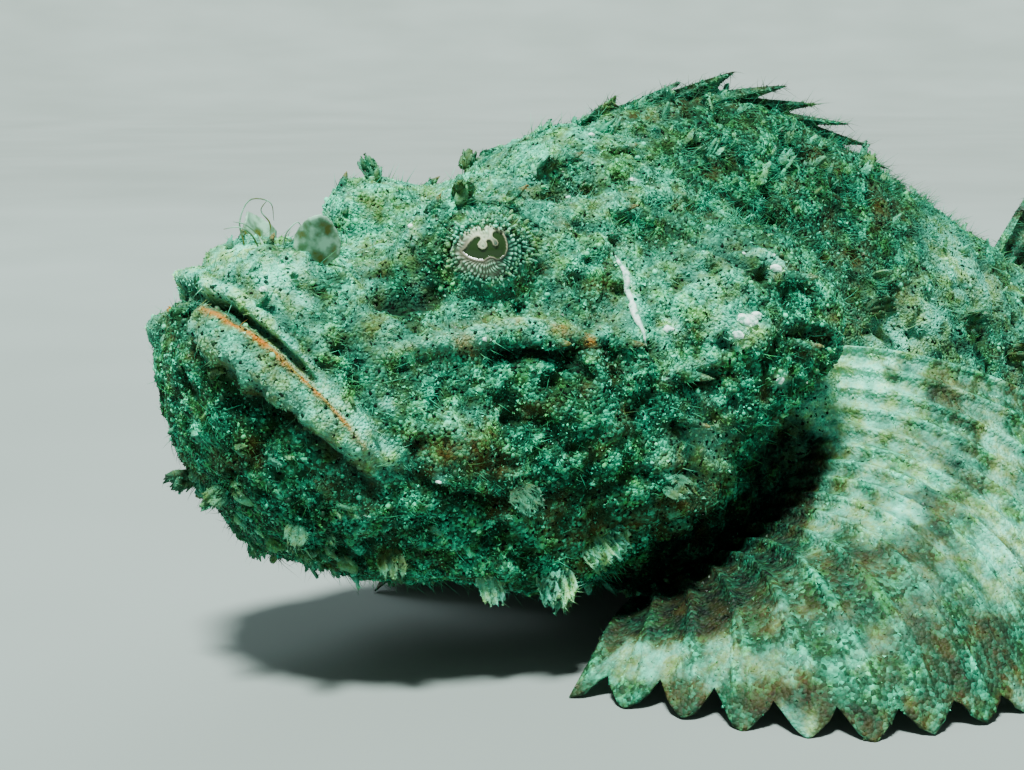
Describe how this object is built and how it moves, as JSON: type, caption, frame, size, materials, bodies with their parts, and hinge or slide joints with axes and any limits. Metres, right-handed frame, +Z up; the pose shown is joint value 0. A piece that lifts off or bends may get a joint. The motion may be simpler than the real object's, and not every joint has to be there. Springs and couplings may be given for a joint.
{
  "type": "scorpionfish",
  "caption": "Humpbacked, upturned-mouthed scorpionfish resting on its belly, with folded dorsal spines, spread fins and skin flaps.",
  "frame": {"origin": "on the floor, under the middle of the bounding box", "axes": "-X is where the fish looks, +Y its right side, +Z up"},
  "size_m": [0.214, 0.1154, 0.0715],
  "materials": {
    "skin": "rough, wet fish skin, mottled dark green and grey with pale grains",
    "fins": "thin rayed fin skin, mottled green and grey, semi-matte",
    "eyes": "glossy wet eye with a dark pupil and pale fringed iris"
  },
  "bodies": {
    "root": {"head": "skin", "lower_jaw": "skin", "torso": "skin", "tail": "skin", "dorsal_fin_spiny": "fins", "dorsal_fin_soft": "fins", "anal_fin": "fins", "tail_fin": "fins", "pectoral_fin_left": "fins", "pectoral_fin_right": "fins", "pelvic_fin_left": "fins", "pelvic_fin_right": "fins", "eye_left": "eyes", "eye_right": "eyes"}
  },
  "joints": []
}
